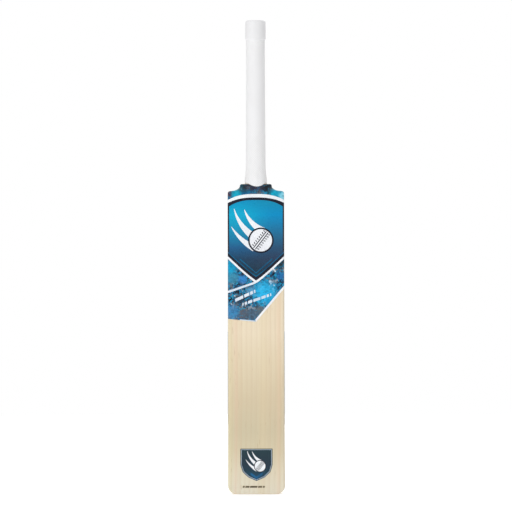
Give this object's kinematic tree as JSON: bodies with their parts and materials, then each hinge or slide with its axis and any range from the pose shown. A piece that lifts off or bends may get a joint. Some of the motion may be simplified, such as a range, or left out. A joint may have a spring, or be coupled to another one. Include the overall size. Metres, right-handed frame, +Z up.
{
  "type": "cricket bat",
  "caption": "Full-size cricket bat with a flat-faced, ridge-backed wooden blade, a spliced cane handle in a white rubber grip, and blue stickers.",
  "frame": {"origin": "on the ground under the middle of the bat's box, level with the flat end of the toe", "axes": "+Z up the handle, -Y the way the hitting face looks, +X to the right seen from in front of the face"},
  "size_m": [0.1052, 0.0649, 0.87],
  "materials": {
    "willow": "pale, fine straight grain, satin",
    "cane": "matt, fine pores",
    "spring_rubber": "matt black",
    "twine": "close-wound waxed twine",
    "grip_rubber": "soft matt white",
    "printed_vinyl": "smooth printed film"
  },
  "bodies": {
    "root": {"blade": "willow", "cane_front_outer_left": "cane", "cane_front_outer_middle": "cane", "cane_front_outer_right": "cane", "cane_front_inner_left": "cane", "cane_front_inner_middle": "cane", "cane_front_inner_right": "cane", "cane_back_inner_left": "cane", "cane_back_inner_middle": "cane", "cane_back_inner_right": "cane", "cane_back_outer_left": "cane", "cane_back_outer_middle": "cane", "cane_back_outer_right": "cane", "spring_front": "spring_rubber", "spring_middle": "spring_rubber", "spring_back": "spring_rubber", "handle_twine": "twine", "grip": "grip_rubber", "face_sticker": "printed_vinyl", "toe_badge": "printed_vinyl", "toe_label": "printed_vinyl", "back_sticker": "printed_vinyl", "edge_sticker_left": "printed_vinyl", "edge_sticker_right": "printed_vinyl"}
  },
  "joints": []
}
